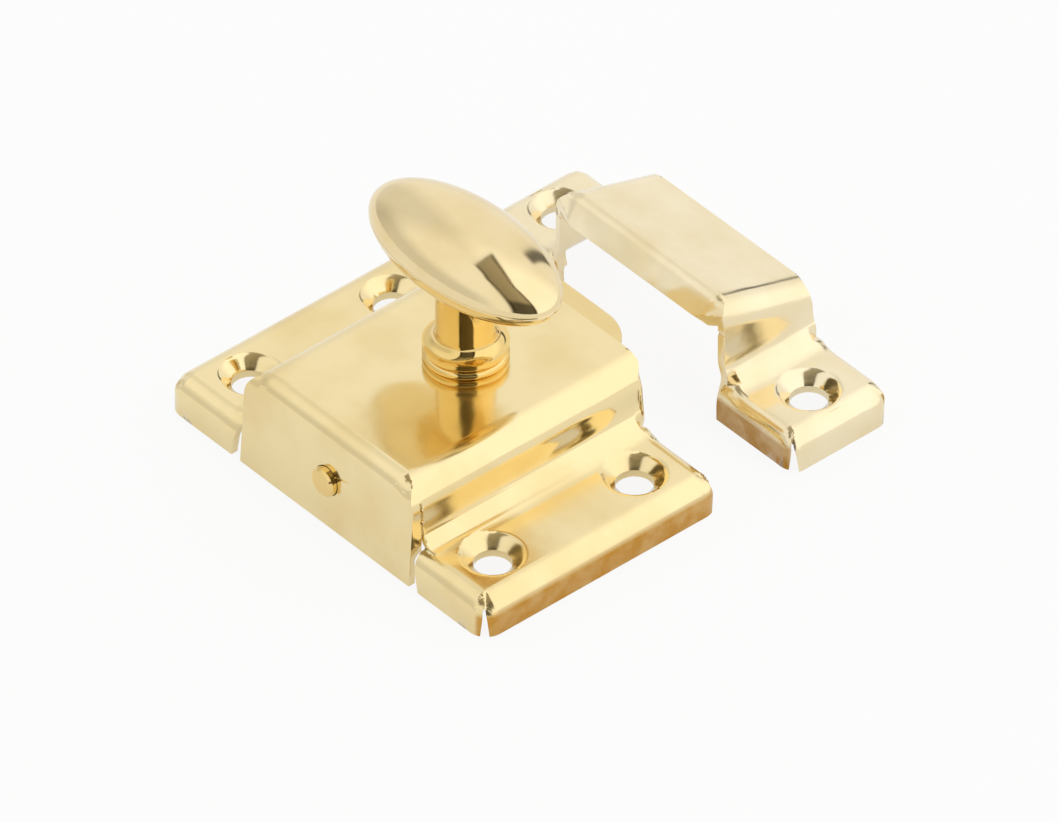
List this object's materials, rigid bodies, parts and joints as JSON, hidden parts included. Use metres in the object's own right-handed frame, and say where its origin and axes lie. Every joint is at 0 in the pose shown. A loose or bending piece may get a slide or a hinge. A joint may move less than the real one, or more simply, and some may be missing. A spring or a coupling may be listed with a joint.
{
  "type": "cupboard turn",
  "caption": "Brass-plated cupboard turn: stamped case with an oval knob that draws back a sprung, round-cornered bolt, and a separate stamped strike with a sloped lip",
  "frame": {"origin": "middle of the four case screw holes, on the face of the board that the case is screwed to", "axes": "+X across the case from one screw flange to the other, +Y the way the tongue points, +Z out of the board toward the knob"},
  "size_m": [0.055, 0.0596, 0.0323],
  "materials": {
    "plated_sheet": "bright brass plate on stamped sheet steel",
    "plated_turned": "bright brass plate on turned pieces",
    "plated_shell": "polished brass plate on pressed shells",
    "plated_bolt": "brass plate on stamped steel",
    "plain_steel": "plain bright steel",
    "spring_steel": "drawn spring wire"
  },
  "bodies": {
    "case_body": {"case": "plated_sheet", "spindle_collar": "plated_turned", "bolt_spring": "spring_steel"},
    "knob_body": {"spindle": "plated_turned", "spindle_sleeve": "plain_steel", "cam": "plain_steel", "cam_washer": "plain_steel", "knob_top_shell": "plated_shell", "knob_base_shell": "plated_shell"},
    "bolt_body": {"latch_bolt": "plated_bolt", "bolt_tail_pin": "plated_turned"},
    "strike_body": {"strike": "plated_sheet"}
  },
  "joints": [
    {"name": "knob_turn", "type": "hinge", "parent": "case_body", "child": "knob_body", "pos_m": [0, 0.0035, 0.013], "axis": [0, 0, 1], "range_deg": [0, 90]},
    {"name": "bolt_slide", "type": "slide", "parent": "case_body", "child": "bolt_body", "axis": [0, -1, 0], "range_m": [0, 0.00409], "deforming": ["bolt_spring"]},
    {"name": "strike_lift", "type": "slide", "parent": "case_body", "child": "strike_body", "axis": [0, 0, 1], "range_m": [0, 0.03]}
  ],
  "couplings": [
    {"joint": "bolt_slide", "follows": "knob_turn", "m_per_rad": 0.0026}
  ]
}
